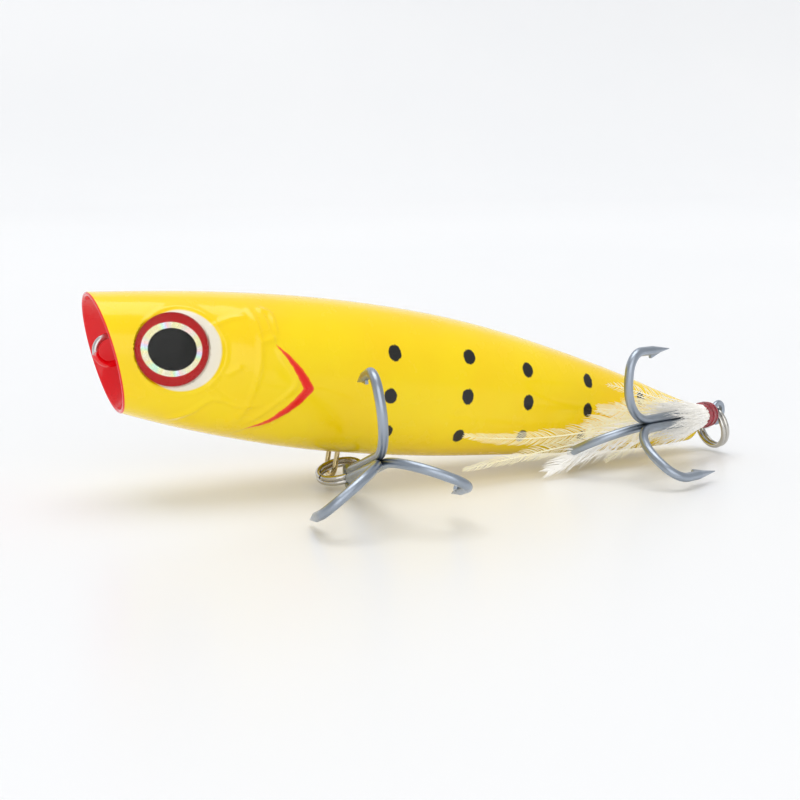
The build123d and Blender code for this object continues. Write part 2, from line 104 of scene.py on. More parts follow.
SPOTS = [  # x, z, half width, half height
    (57.1, 6.9, 1.35, 1.55), (57.0, -1.2, 1.30, 1.60), (58.4, -8.4, 1.25, 1.45),
    (73.6, 7.9, 1.30, 1.45), (73.7, 0.3, 1.30, 1.60), (74.3, -7.8, 1.20, 1.40),
    (87.5, 6.7, 1.20, 1.45), (88.1, 0.4, 1.20, 1.60), (88.8, -6.6, 1.10, 1.35),
    (103.0, 5.9, 1.10, 1.45), (103.1, 0.1, 1.10, 1.55), (103.5, -5.5, 1.05, 1.30),
    (117.3, 3.4, 1.05, 1.60), (117.6, -2.2, 0.95, 1.35),
]
SPOT_TILT = radians(12)
GILL_HALF_WIDTH = (0.06, 0.86)  # at the mark's tips, and added towards its corner
GILL_LIFT = 0.22
COVER_LIFT = 0.32  # the gill cover stands this proud of the flank behind it
# the rear edge of the gill cover: z, x
COVER_EDGE = ([-14, -10.9, -6.5, -1.5, 2.0, 5.6, 14], [27, 30.7, 36.9, 40.3, 37.1, 33.1, 30])
LID_HEIGHT = 0.20
PEARL_INSIDE = 0.25  # the pearl paint stops this far inside the recess's edge
PARTING_STEP = 0.07  # the half shells' edges are eased by this much at the joint

# ---- how finely the body is drawn ----
AROUND = np.linspace(0, pi, 150)  # from the belly to the back
CUP_ROWS = 40
RIM_STEPS = 8
RIM_BULGE = 0.34
FINE_ROWS, COARSE_ROWS, FINE_SHARE = 170, 130, 0.36  # the head is drawn finer than the rest
TAIL_ROWS = 6

# ---- eye print: radii in mm of the silver ring and the pupil, along and across ----
DISC_LEVELS = (-1.12, -1.48)  # front and back faces, from the plane of the eye
DISC_RINGS, DISC_SPOKES = 14, 96
SILVER = (5.62, 4.95)
PUPIL = (4.45, 3.85)
PUPIL_SHIFT = 0.15

# ---- dressing, in millimetres ----
REAR_SHANK = np.array([-0.8898, -0.4539, 0.0480])  # from the hook's eye towards its bends
WRAP_LENGTH = 4.8
THREAD_RADIUS = 0.15
THREAD_LAYERS = [(2.42, 17, False), (2.62, 9, True)]  # radius, turns, whether they cross back and forth
TURN_STEPS = 28
TIE_FROM_MIDDLE = 2.3  # the hair and feathers leave the wrap this far from its middle
HAIR_COUNT = 520
HAIR_ROOT = (1.95, 2.35)  # distance from the shanks' axis
HAIR_LENGTH = (9.0, 19.5)
HAIR_FLARE = (0.0, 0.17)
HAIR_UNDER_WRAP = 0.9
HAIR_RADII = (0.10, 0.10, 0.09, 0.065, 0.02)
QUILL_STEPS = 40
QUILL_RADII = (0.26, 0.05)
BARB_RADII = (0.075, 0.075, 0.065, 0.048, 0.015)
BARB_FLATNESS = 0.55

# ---- camera and floor, in metres ----
CAMERA_AT = (-0.07246, -0.29338, 0.0400)
CAMERA_TARGET = (0.05828, 0.0, -0.0132)
CAMERA_LENS = 73.74
FLOOR_WIDTH, FLOOR_FRONT, FLOOR_BACK = 3.0, -1.6, 1.6
BACKDROP_HEIGHT, BACKDROP_CURVE = 1.6, 0.6
FLOOR_GAP = 0.00005


# ================================================================ shape helpers

def to_row(points):
    """Points from the upper lip in body axes (mm), as an array in the row frame in metres."""
    p = np.asarray(points, float)
    x = p[:, 0] - LIP_TO_EYE
    row = np.empty_like(p)
    row[:, 0] = x * cos(PITCH) + p[:, 2] * sin(PITCH)
    row[:, 1] = p[:, 1]
    row[:, 2] = p[:, 2] * cos(PITCH) - x * sin(PITCH)
    return row * MM


def smooth_through(xs, ys, x):
    """A smooth curve through (xs, ys), read at x: cubic pieces whose slopes come from the neighbours."""
    slopes = np.gradient(ys, xs)
    i = np.clip(np.searchsorted(xs, x) - 1, 0, len(xs) - 2)
    h = xs[i + 1] - xs[i]
    t = (x - xs[i]) / h
    a = (1 + 2 * t) * (1 - t) ** 2
    b = t * (1 - t) ** 2
    c = t * t * (3 - 2 * t)
    d = t * t * (t - 1)
    return a * ys[i] + b * h * slopes[i] + c * ys[i + 1] + d * h * slopes[i + 1]


def profile(x):
    """Middle height, half height and half width of the body at x."""
    top, belly, half = (smooth_through(STATIONS[:, 0], STATIONS[:, k], x) for k in (1, 2, 3))
    return (top + belly) / 2, (top - belly) / 2, half


def softened(points, count=24):
    """A stroke through its given points, as a smooth run of points."""
    p = np.array(points, float)
    at = np.arange(len(p), dtype=float)
    t = np.linspace(0, len(p) - 1, count)
    return np.stack([smooth_through(at, p[:, k], t) for k in (0, 1)], axis=1)


def stroke_distance(x, z, stroke):
    """Distance of each (x, z) from a stroke, and how far along it the nearest place is, from 0 to 1."""
    best = np.full(x.shape, 1e9)
    along = np.zeros(x.shape)
    last = len(stroke) - 1
    for i in range(last):
        a, b = stroke[i], stroke[i + 1]
        d = b - a
        t = np.clip(((x - a[0]) * d[0] + (z - a[1]) * d[1]) / max(d @ d, 1e-9), 0, 1)
        dist = np.hypot(x - a[0] - t * d[0], z - a[1] - t * d[1])
        closer = dist < best
        best = np.where(closer, dist, best)
        along = np.where(closer, (i + t) / last, along)
    return best, along


def ease(t):
    """A smooth step from 0 to 1."""
    t = np.clip(t, 0, 1)
    return t * t * (3 - 2 * t)


def add_object(name, verts, faces, smooth=True):
    """A mesh object in the scene from vertices in metres and faces."""
    mesh = bpy.data.meshes.new(name)
    mesh.from_pydata([tuple(v) for v in verts], [], faces)
    mesh.validate()
    mesh.update()
    if smooth:
        mesh.shade_smooth()
    obj = bpy.data.objects.new(name, mesh)
    bpy.context.scene.collection.objects.link(obj)
    return obj


def grid_faces(rows, cols, closed=False, offset=0, flip=False):
    """Quads of a grid of points, with its columns joined up in a ring if closed."""
    faces = []
    for r in range(rows - 1):
        for c in range(cols if closed else cols - 1):
            d = (c + 1) % cols
            quad = (offset + r * cols + c, offset + (r + 1) * cols + c,
                    offset + (r + 1) * cols + d, offset + r * cols + d)
            faces.append(quad[::-1] if flip else quad)
    return faces


def frames_along(path):
    """Two directions square to a path at each of its points, turned as little as possible."""
    p = np.asarray(path, float)
    t = np.gradient(p, axis=0)
    t /= np.linalg.norm(t, axis=1)[:, None]
    up = np.array([0.0, 0.0, 1.0]) if abs(t[0][2]) < 0.9 else np.array([1.0, 0.0, 0.0])
    n = np.cross(t[0], up)
    n /= np.linalg.norm(n)
    normals = []
    for k in range(len(p)):
        n = n - t[k] * (n @ t[k])
        n /= np.linalg.norm(n)
        normals.append(n.copy())
    normals = np.array(normals)
    return normals, np.cross(t, normals)


class Strands:
    """Collects many thin tapered tubes into one mesh."""

    def __init__(self):
        self.verts = []
        self.faces = []

    def tube(self, path, radii, sides=4, flatten=1.0, flat_dir=None):
        """A tube along a path, closed at both ends; flatten squeezes it along one of its cross directions."""
        path = np.asarray(path, float)
        radii = np.broadcast_to(np.asarray(radii, float), (len(path),))
        a, b = frames_along(path)
        if flat_dir is not None:
            t = np.cross(a, b)
            a = flat_dir - t * (t @ flat_dir)[:, None]
            a /= np.linalg.norm(a, axis=1)[:, None]
            b = np.cross(t, a)
        base = len(self.verts)
        for k in range(len(path)):
            for s in range(sides):
                ang = 2 * pi * s / sides
                v = path[k] + radii[k] * (flatten * cos(ang) * a[k] + sin(ang) * b[k])
                self.verts.append(v)
        self.faces += grid_faces(len(path), sides, closed=True, offset=base, flip=True)
        self.faces.append(tuple(base + s for s in range(sides)))
        last = base + (len(path) - 1) * sides
        self.faces.append(tuple(last + s for s in reversed(range(sides))))

    def build(self, name):
        """The collected tubes as one object."""
        return add_object(name, self.verts, self.faces)


def bezier(a, b, c, d, count):
    """Points on a cubic curve."""
    t = np.linspace(0, 1, count)[:, None]
    a, b, c, d = (np.asarray(v, float) for v in (a, b, c, d))
    return a * (1 - t) ** 3 + 3 * b * t * (1 - t) ** 2 + 3 * c * t * t * (1 - t) + d * t ** 3


# ================================================================ materials

def new_material(name):
    """A node material, with helpers to add nodes to it."""
    mat = bpy.data.materials.new(name)
    mat.use_nodes = True
    return mat, mat.node_tree.nodes, mat.node_tree.links, mat.node_tree.nodes["Principled BSDF"]


def setup(bsdf, **values):
    """Set constants on the shader's own sockets, by socket name with underscores."""
    for key, value in values.items():
        bsdf.inputs[key.replace("_", " ")].default_value = value


def attribute(nodes, name):
    """A mesh attribute as a number."""
    node = nodes.new("ShaderNodeAttribute")
    node.attribute_name = name
    return node.outputs["Fac"]


def object_place(nodes):
    """The place on the object, in metres."""
    return nodes.new("ShaderNodeTexCoord").outputs["Object"]


def noise(nodes, links, scale, detail=3.0, roughness=0.5):
    """A noise texture's value."""
    node = nodes.new("ShaderNodeTexNoise")
    node.inputs["Scale"].default_value = scale
    node.inputs["Detail"].default_value = detail
    node.inputs["Roughness"].default_value = roughness
    links.new(object_place(nodes), node.inputs["Vector"])
    return node.outputs["Fac"]


def spread(nodes, links, value, low, high, to_low=0.0, to_high=1.0):
    """A value mapped from one range to another, clamped."""
    node = nodes.new("ShaderNodeMapRange")
    node.inputs["From Min"].default_value = low
    node.inputs["From Max"].default_value = high
    node.inputs["To Min"].default_value = to_low
    node.inputs["To Max"].default_value = to_high
    links.new(value, node.inputs["Value"])
    return node.outputs["Result"]


def mixed(nodes, links, factor, first, second):
    """Two colours mixed by a factor; each is a colour or a socket."""
    node = nodes.new("ShaderNodeMix")
    node.data_type = "RGBA"
    links.new(factor, node.inputs["Factor"])
    for socket, value in ((node.inputs[6], first), (node.inputs[7], second)):
        if isinstance(value, tuple):
            socket.default_value = (*value, 1.0)
        else:
            links.new(value, socket)
    return node.outputs[2]


def maths(nodes, links, operation, first, second=None):
    """One arithmetic step on numbers or sockets."""
    node = nodes.new("ShaderNodeMath")
    node.operation = operation
    for socket, value in zip(node.inputs, (first, second)):
        if value is None:
            continue
        if isinstance(value, (int, float)):
            socket.default_value = value
        else:
            links.new(value, socket)
    return node.outputs["Value"]


def bumped(nodes, links, bsdf, height, strength, distance):
    """Bump from a height."""
    node = nodes.new("ShaderNodeBump")
    node.inputs["Strength"].default_value = strength
    node.inputs["Distance"].default_value = distance
    links.new(height, node.inputs["Height"])
    links.new(node.outputs["Normal"], bsdf.inputs["Normal"])


YELLOW = (0.99, 0.735, 0.0)
YELLOW_DEEP = (0.98, 0.665, 0.0)
BLACK_PAINT = (0.012, 0.012, 0.010)
RED_PAINT = (0.86, 0.010, 0.006)
ORANGE_EDGE = (0.95, 0.10, 0.012)
PEARL = (0.86, 0.80, 0.66)
CUP_RED = (0.86, 0.002, 0.008)


def body_paint():
    """Yellow lacquer with black spots, a red gill mark and a red cup, under a clear gloss coat."""
    mat, nodes, links, bsdf = new_material("body_paint")
    drift = spread(nodes, links, noise(nodes, links, 55.0), 0.35, 0.7)
    base = mixed(nodes, links, drift, YELLOW, YELLOW_DEEP)
    fleck = spread(nodes, links, noise(nodes, links, 900.0, 2.0), 0.3, 0.7, -0.10, 0.10)
    spot = maths(nodes, links, "ADD", attribute(nodes, "spot"), fleck)
    base = mixed(nodes, links, spread(nodes, links, spot, -0.10, 0.10, 1, 0), base, BLACK_PAINT)
    gill = maths(nodes, links, "ADD", attribute(nodes, "gill"), maths(nodes, links, "MULTIPLY", fleck, 0.6))
    mark = mixed(nodes, links, spread(nodes, links, gill, -0.42, -0.05, 1, 0), ORANGE_EDGE, RED_PAINT)
    base = mixed(nodes, links, spread(nodes, links, gill, -0.06, 0.10, 1, 0), base, mark)
    pearl = spread(nodes, links, attribute(nodes, "pearl"), -0.15, 0.15, 1, 0)
    base = mixed(nodes, links, pearl, base, PEARL)
    cup = spread(nodes, links, attribute(nodes, "cup"), 0.25, 0.45)
    base = mixed(nodes, links, cup, base, CUP_RED)
    links.new(base, bsdf.inputs["Base Color"])
    rough = spread(nodes, links, noise(nodes, links, 240.0, 4.0), 0.3, 0.7, 0.20, 0.30)
    links.new(rough, bsdf.inputs["Roughness"])
    setup(bsdf, Coat_Weight=0.7, Coat_Roughness=0.05, Coat_IOR=1.38, IOR=1.45, Specular_IOR_Level=0.25)
    ripple = noise(nodes, links, 130.0, 2.0)
    bumped(nodes, links, bsdf, ripple, 0.06, 0.0006)
    return mat


def eye_print():
    """Printed foil: red band, rainbow silver ring and a black pupil, by the disc's own coordinates."""
    mat, nodes, links, bsdf = new_material("eye_print")
    ring = attribute(nodes, "ring")
    pupil = attribute(nodes, "pupil")
    turn = attribute(nodes, "turn")
    grain = noise(nodes, links, 1500.0, 2.0)
    turns = maths(nodes, links, "MULTIPLY", turn, 2.0)
    jitter = maths(nodes, links, "MULTIPLY", grain, 0.25)
    wave = maths(nodes, links, "FRACT", maths(nodes, links, "ADD", turns, jitter))
    rainbow = nodes.new("ShaderNodeValToRGB")
    stops = [(0.0, (0.72, 0.70, 0.62)), (0.18, (0.80, 0.74, 0.42)), (0.34, (0.55, 0.80, 0.60)),
             (0.5, (0.62, 0.78, 0.86)), (0.66, (0.70, 0.62, 0.84)), (0.82, (0.88, 0.62, 0.60)),
             (1.0, (0.72, 0.70, 0.62))]
    ramp = rainbow.color_ramp
    while len(ramp.elements) < len(stops):
        ramp.elements.new(0.5)
    for element, (at, colour) in zip(ramp.elements, stops):
        element.position = at
        element.color = (*colour, 1)
    links.new(wave, rainbow.inputs["Fac"])
    ring_mask = spread(nodes, links, ring, 0.985, 1.01)
    pupil_mask = spread(nodes, links, pupil, 0.985, 1.02)
    colour = mixed(nodes, links, ring_mask, rainbow.outputs["Color"], (0.58, 0.004, 0.005))
    colour = mixed(nodes, links, pupil_mask, (0.003, 0.003, 0.003), colour)
    links.new(colour, bsdf.inputs["Base Color"])
    foil = maths(nodes, links, "MULTIPLY", pupil_mask, spread(nodes, links, ring_mask, 0, 1, 0.75, 0.1))
    setup(bsdf, Specular_IOR_Level=0.08)
    links.new(foil, bsdf.inputs["Metallic"])
    links.new(spread(nodes, links, grain, 0.3, 0.7, 0.22, 0.36), bsdf.inputs["Roughness"])
    bumped(nodes, links, bsdf, grain, 0.15, 0.0001)
    return mat


def clear_dome():
    """Clear resin: mostly see-through, with gloss that grows towards its edge."""
    mat, nodes, links, bsdf = new_material("clear_dome")
    nodes.remove(bsdf)
    out = nodes["Material Output"]
    see = nodes.new("ShaderNodeBsdfTransparent")
    see.inputs["Color"].default_value = (0.97, 0.97, 0.96, 1)
    gloss = nodes.new("ShaderNodeBsdfPrincipled")
    setup(gloss, Base_Color=(0.9, 0.9, 0.9, 1), Metallic=1.0, Roughness=0.03)
    edge = nodes.new("ShaderNodeFresnel")
    edge.inputs["IOR"].default_value = 1.22
    waves = noise(nodes, links, 160.0, 1.0)
    bump = nodes.new("ShaderNodeBump")
    bump.inputs["Strength"].default_value = 0.08
    bump.inputs["Distance"].default_value = 0.0004
    links.new(waves, bump.inputs["Height"])
    links.new(bump.outputs["Normal"], gloss.inputs["Normal"])
    mix = nodes.new("ShaderNodeMixShader")
    links.new(edge.outputs["Fac"], mix.inputs["Fac"])
    links.new(see.outputs["BSDF"], mix.inputs[1])
    links.new(gloss.outputs["BSDF"], mix.inputs[2])
    links.new(mix.outputs["Shader"], out.inputs["Surface"])
    return mat


def metal(name, colour, rough, scale=400.0, tarnish=0.15, depth=0.00004):
    """Worked metal with fine marks and a slight change of tone."""
    mat, nodes, links, bsdf = new_material(name)
    marks = noise(nodes, links, scale, 4.0, 0.6)
    cloud = spread(nodes, links, noise(nodes, links, 90.0), 0.35, 0.7)
    darker = tuple(c * (1 - tarnish) for c in colour)
    links.new(mixed(nodes, links, cloud, colour, darker), bsdf.inputs["Base Color"])
    links.new(spread(nodes, links, marks, 0.3, 0.7, rough * 0.8, rough * 1.25), bsdf.inputs["Roughness"])
    setup(bsdf, Metallic=1.0)
    bumped(nodes, links, bsdf, marks, 0.25, depth)
    return mat


def tow_wire():
    """The through wire: red paint on the tow eye, worn bare on its upper front, and bare steel elsewhere."""
    mat, nodes, links, bsdf = new_material("tow_wire")
    place = nodes.new("ShaderNodeSeparateXYZ")
    links.new(object_place(nodes), place.inputs["Vector"])
    forward = maths(nodes, links, "MULTIPLY", place.outputs["X"], 0.9)
    toward = maths(nodes, links, "SUBTRACT", place.outputs["Z"], forward)
    scuff = maths(nodes, links, "ADD", toward,
                  spread(nodes, links, noise(nodes, links, 700.0, 3.0), 0.25, 0.75, -0.0010, 0.0010))
    worn = spread(nodes, links, scuff, 0.0016, 0.0021)
    behind = spread(nodes, links, place.outputs["X"], 0.030, 0.031)
    bare = maths(nodes, links, "MAXIMUM", worn, behind)
    links.new(mixed(nodes, links, bare, CUP_RED, (0.62, 0.61, 0.60)), bsdf.inputs["Base Color"])
    links.new(bare, bsdf.inputs["Metallic"])
    links.new(spread(nodes, links, bare, 0, 1, 0.22, 0.28), bsdf.inputs["Roughness"])
    setup(bsdf, Coat_Weight=0.3, Coat_Roughness=0.08)
    bumped(nodes, links, bsdf, noise(nodes, links, 1200.0, 3.0), 0.2, 0.00004)
    return mat


def fibre(name, light, dark, rough=0.5, scale=300.0, sheen=0.25, painted_glow=0.0):
    """Hair, feather or thread; the emission set here is painted light, a faint self-lit glow in the pale tone
    that stands for the light pale strands pass on between them.
    """
    mat, nodes, links, bsdf = new_material(name)
    tone = spread(nodes, links, noise(nodes, links, scale, 3.0), 0.3, 0.7)
    links.new(mixed(nodes, links, tone, light, dark), bsdf.inputs["Base Color"])
    links.new(spread(nodes, links, tone, 0, 1, rough * 0.85, rough * 1.15), bsdf.inputs["Roughness"])
    # painted light: emission in the strand's pale tone, standing for the light passed on between strands
    setup(bsdf, Sheen_Weight=sheen, Sheen_Roughness=0.4, Emission_Color=(*light, 1.0), Emission_Strength=painted_glow)
    bumped(nodes, links, bsdf, noise(nodes, links, scale * 8, 2.0), 0.3, 0.00003)
    return mat


def plastic(name, colour, rough=0.35):
    """Plain moulded plastic with a faint grain."""
    mat, nodes, links, bsdf = new_material(name)
    tone = spread(nodes, links, noise(nodes, links, 200.0), 0.3, 0.7)
    darker = tuple(c * 0.9 for c in colour)
    links.new(mixed(nodes, links, tone, colour, darker), bsdf.inputs["Base Color"])
    links.new(spread(nodes, links, tone, 0, 1, rough * 0.9, rough * 1.1), bsdf.inputs["Roughness"])
    bumped(nodes, links, bsdf, noise(nodes, links, 1500.0), 0.1, 0.00003)
    return mat


# ================================================================ body

def eye_axes(side):
    """The eye's outward, centre, rearward and upward vectors."""
    out = EYE_FACES * np.array([1, side, 1])
    out = out / np.linalg.norm(out)
    centre = np.array([EYE_AT[0], side * EYE_OUT, EYE_AT[1]])
    across = np.array([1.0, 0, 0]) - out * out[0]
    across /= np.linalg.norm(across)
    up = np.cross(out, across)
    return out, centre, across, -up if up[2] < 0 else up


def eye_height(points, side):
    """Height of body points over the plane of the eye, and their two distances in that plane."""
    out, centre, across, up = eye_axes(side)
    d = points - centre
    return d @ out, d @ across, d @ up


def emboss(points, normals, side):
    """Press the eye socket into a half body and raise its cheek, jaw and gill lines."""
    x, z = points[:, 0], points[:, 2]
    lift = np.zeros(len(points))
    for height, half_width, stroke in EMBOSSED:
        dist, along = stroke_distance(x, z, softened(stroke))
        ends = ease(along / 0.10) * ease((1 - along) / 0.10)
        lift += height * np.exp(-(dist / half_width) ** 2) * (0.35 + 0.65 * ends)
    dist, along = stroke_distance(x, z, GILL_MARK)
    lift += GILL_LIFT * ease((1.1 - dist) / 0.7) * ease((1 - along) / 0.1) * ease(along / 0.1)
    edge_x = np.interp(z, *COVER_EDGE)
    lift += COVER_LIFT * ease((edge_x + 0.6 - x) / 1.2) * ease((x - 22) / 8) * ease((13.2 - abs(z)) / 4)
    keep_flat = ease((abs(points[:, 1]) - 1.0) / 3.0)
    points = points + normals * (lift * keep_flat)[:, None]
    out = eye_axes(side)[0]
    height, across, up = eye_height(points, side)
    near = points[:, 1] * side > 2
    brow = np.hypot(across - BROW_SHIFT, up)
    drop = np.minimum(0, -BROW_DEPTH - height) * ease((BROW_RADIUS - brow) / 0.55 + 0.5) * near
    points = points + out * drop[:, None]
    height = height + drop
    seat = np.hypot(across, up)
    drop = np.minimum(0, -SOCKET_DEPTH - height) * ease((EYE_RADIUS + 0.3 - seat) / 0.22) * near
    # a thin raised lid round the recess
    lid = LID_HEIGHT * np.exp(-((brow - BROW_RADIUS - 0.55) / 0.40) ** 2) * near
    return points + out * (drop + lid)[:, None]


def spot_distance(x, z):
    """Signed distance in mm from the nearest spot's edge, negative inside."""
    best = np.full(x.shape, 9.0)
    c, s = cos(SPOT_TILT), sin(SPOT_TILT)
    for sx, sz, rx, rz in SPOTS:
        u = (x - sx) * c + (z - sz) * s
        v = (z - sz) * c - (x - sx) * s
        best = np.minimum(best, (np.sqrt((u / rx) ** 2 + (v / rz) ** 2) - 1) * min(rx, rz))
    return best


def gill_distance(x, z):
    """Signed distance in mm from the edge of the red gill mark, negative inside."""
    dist, along = stroke_distance(x, z, GILL_MARK)
    at_tips, more = GILL_HALF_WIDTH
    return dist - at_tips - more * np.sin(pi * along) ** 0.9


def pearl_distance(points, side):
    """Signed distance in mm from the edge of the pearl-painted recess round the eye, negative inside."""
    _, across, up = eye_height(points, side)
    far_side = points[:, 1] * side < 2
    return np.where(far_side, 9.0, np.hypot(across - BROW_SHIFT, up) - BROW_RADIUS + PEARL_INSIDE)


def mouth_cross(z):
    """x on the mouth's slanted plane at a height z."""
    slope = (LOWER_LIP[0] - UPPER_LIP[0]) / (UPPER_LIP[1] - LOWER_LIP[1])
    return UPPER_LIP[0] + (UPPER_LIP[1] - z) * slope


def mouth_start():
    """x where the flank meets the mouth's plane, for each point round the half body."""
    start = np.full(len(AROUND), 4.0)
    for _ in range(12):
        mid, half_h, _ = profile(start)
        start = mouth_cross(mid - half_h * np.cos(AROUND))
    return start


def half_ring(x, side, inset=0.0):
    """Half a cross-section of the body, with an x for each of its points."""
    mid, half_h, half_w = profile(x)
    across = side * (half_w - inset) * np.sin(AROUND)
    return np.stack([x, across, mid - (half_h - inset) * np.cos(AROUND)], axis=1)


def cup_rows(lip):
    """Rows from the cup's deepest point out to the rim and over it, and how red each row is."""
    mid_lip = (UPPER_LIP + LOWER_LIP) / 2
    centre = np.array([mid_lip[0], 0.0, mid_lip[1]])
    slope = LOWER_LIP - UPPER_LIP
    slope = slope / np.linalg.norm(slope)
    forward = np.array([slope[1], 0.0, -slope[0]])
    ratio = sqrt(1 - (CUP_AHEAD / (CUP_DEPTH + CUP_AHEAD)) ** 2)
    reach = lip - centre
    length = np.linalg.norm(reach, axis=1)[:, None]
    inner = centre + reach * (1 - RIM / length)
    rows = []
    for rho in np.linspace(0.0, 1.0, CUP_ROWS):
        depth = (CUP_DEPTH + CUP_AHEAD) * sqrt(1 - (rho * ratio) ** 2) - CUP_AHEAD
        rows.append(centre + (inner - centre) * rho - forward * depth)
    for k in range(1, RIM_STEPS):
        a = pi * k / RIM_STEPS
        inset = RIM * (1 + cos(a)) / 2
        rows.append(centre + reach * (1 - inset / length) + forward * (sin(a) * RIM_BULGE))
    return rows, [1.0] * (len(rows) - 1) + [0.6]


def flank_rows(start, side):
    """Rows of the plain flank, from the lip to the tail's rounding, with the head finer than the rest."""
    head = np.linspace(0.0, FINE_SHARE, FINE_ROWS, endpoint=False)
    rest = np.linspace(FINE_SHARE, 1.0, COARSE_ROWS)
    end = BODY_END - TAIL_ROUNDING
    return [half_ring(start + (end - start) * value, side) for value in np.concatenate([head, rest])]


def tail_rows(side):
    """Rows round the tail's edge and in to the middle of its blunt end."""
    rows = []
    for k in range(1, TAIL_ROWS + 1):
        a = pi / 2 * k / TAIL_ROWS
        x = np.full(len(AROUND), BODY_END - TAIL_ROUNDING + TAIL_ROUNDING * sin(a))
        rows.append(half_ring(x, side, TAIL_ROUNDING * (1 - cos(a))))
    edge = rows[-1]
    centre = edge.mean(axis=0) * np.array([1, 0, 1])
    return rows + [centre + (edge - centre) * share for share in (0.6, 0.3, 0.0)]


def embossed_flank(flank, side):
    """The flank's rows with its relief, and with its edges eased at the parting line."""
    cols = len(AROUND)
    points = flank.reshape(-1, 3)
    mid, half_h, half_w = profile(points[:, 0])
    normals = np.stack([0 * mid, points[:, 1] / half_w ** 2, (points[:, 2] - mid) / half_h ** 2], axis=1)
    normals /= np.linalg.norm(normals, axis=1)[:, None]
    flank = emboss(points, normals, side).reshape(-1, cols, 3)
    flank[:, (0, -1), 2] += np.array([PARTING_STEP, -PARTING_STEP])
    return flank


def body_half(name, side, node):
    """One moulded half: flank, rounded lip, cup, blunt tail and the flat joint on the middle plane."""
    cols = len(AROUND)
    start = mouth_start()
    mouth, red = cup_rows(half_ring(start, side))
    flank = flank_rows(start, side)
    grid = np.array(mouth + flank + tail_rows(side))
    first, last = len(mouth), len(mouth) + len(flank)
    grid[first:last] = embossed_flank(grid[first:last], side)
    grid[:, (0, -1), 1] = 0.0
    n_rows = len(grid)
    red += [0.0] * (n_rows - len(red))
    points = grid.reshape(-1, 3)
    faces = grid_faces(n_rows, cols, flip=side > 0)
    rim = [r * cols for r in range(n_rows)] + [r * cols + cols - 1 for r in reversed(range(n_rows))]
    faces.append(tuple(rim if side > 0 else rim[::-1]))
    obj = add_object(name, to_row(points), faces)
    mesh = obj.data
    for label, values in (("spot", spot_distance(points[:, 0], points[:, 2])),
                          ("gill", gill_distance(points[:, 0], points[:, 2])),
                          ("pearl", pearl_distance(points, side)),
                          ("cup", np.repeat(red, cols))):
        layer = mesh.attributes.new(label, "FLOAT", "POINT")
        layer.data.foreach_set("value", values.astype(np.float32))
    mesh.polygons[len(mesh.polygons) - 1].use_smooth = False
    sharpen(mesh)
    obj.data.materials.append(PAINT)
    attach(obj, "lure_body")
    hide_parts(node)
    return obj


def sharpen(mesh, limit=radians(50)):
    """Weld doubled points and keep edges steeper than the limit crisp."""
    bm = bmesh.new()
    bm.from_mesh(mesh)
    bmesh.ops.remove_doubles(bm, verts=bm.verts, dist=1e-6)
    bmesh.ops.dissolve_degenerate(bm, dist=1e-7, edges=bm.edges)
    for edge in bm.edges:
        if len(edge.link_faces) == 2 and edge.calc_face_angle(0) > limit:
            edge.smooth = False
    bm.to_mesh(mesh)
    bm.free()


# ================================================================ eyes

def eye_disc(name, side, node):
    """The printed disc, with the attributes that its print follows."""
    out, centre, across, up = eye_axes(side)
    radius = EYE_RADIUS - 0.02
    front = [r / DISC_RINGS for r in range(DISC_RINGS + 1)]
    back = [1 - share for share in front]
    verts, ring_at, pupil_at, turn_at = [], [], [], []
    for level, shares in zip(DISC_LEVELS, (front, back)):
        for share in shares:
            for s in range(DISC_SPOKES):
                a = 2 * pi * s / DISC_SPOKES
                u, v = radius * share * cos(a), radius * share * sin(a)
                verts.append(centre + out * level + across * u + up * v)
                ring_at.append(sqrt((u / SILVER[0]) ** 2 + (v / SILVER[1]) ** 2))
                pupil_at.append(sqrt(((u - PUPIL_SHIFT) / PUPIL[0]) ** 2 + (v / PUPIL[1]) ** 2))
                turn_at.append(0.5 + 0.5 * sin(a + 0.6) + 0.12 * sin(5 * a))
    faces = grid_faces(2 * (DISC_RINGS + 1), DISC_SPOKES, closed=True, flip=side > 0)
    obj = add_object(name, to_row(verts), faces)
    for label, values in (("ring", ring_at), ("pupil", pupil_at), ("turn", turn_at)):
        layer = obj.data.attributes.new(label, "FLOAT", "POINT")
        layer.data.foreach_set("value", np.array(values, np.float32))
    sharpen(obj.data, radians(35))
    obj.data.materials.append(EYE_PRINT)
    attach(obj, "lure_body")
    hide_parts(node)
    return obj


# ================================================================ dressing on the rear hook

def hook_frame():
    """The middle of the thread wrap, the rear shank's direction and two directions square to it."""
    co = np.array([v.co[:] for v in NODES["thread_wrap"].data.vertices])
    shank = REAR_SHANK / np.linalg.norm(REAR_SHANK)
    side = np.cross(shank, [0, 0, 1])
    side /= np.linalg.norm(side)
    return co.mean(axis=0), shank, side, np.cross(side, shank)


def thread_turns():
    """Wound thread: a plain layer of turns, and tying-off turns that cross it."""
    middle, shank, side, up = hook_frame()
    strands = Strands()
    length, thread = WRAP_LENGTH * MM, THREAD_RADIUS * MM
    random.seed(11)
    for radius, turns, crossing in THREAD_LAYERS:
        steps = turns * TURN_STEPS
        path = []
        for k in range(steps + 1):
            share = k / steps
            a = 2 * pi * turns * share
            along = (0.5 - 0.5 * cos(2 * pi * share * 1.5)) * 0.82 - 0.41 if crossing else share - 0.5
            swell = radius * MM * (1 - 0.10 * abs(2 * along) ** 3) + random.uniform(-0.02, 0.02) * MM
            path.append(middle + shank * (along * (length - 2 * thread))
                        + (side * cos(a) + up * sin(a)) * (swell - 0.02 * MM))
        strands.tube(path, thread, sides=6)
    obj = strands.build("thread_winding")
    obj.data.materials.append(THREAD)
    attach(obj, "rear_hook")
    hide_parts("thread_wrap")
    return obj


def tie_place():
    """The end of the wrap towards the bends, and the shank's directions."""
    middle, shank, side, up = hook_frame()
    return middle + shank * TIE_FROM_MIDDLE * MM, shank, side, up


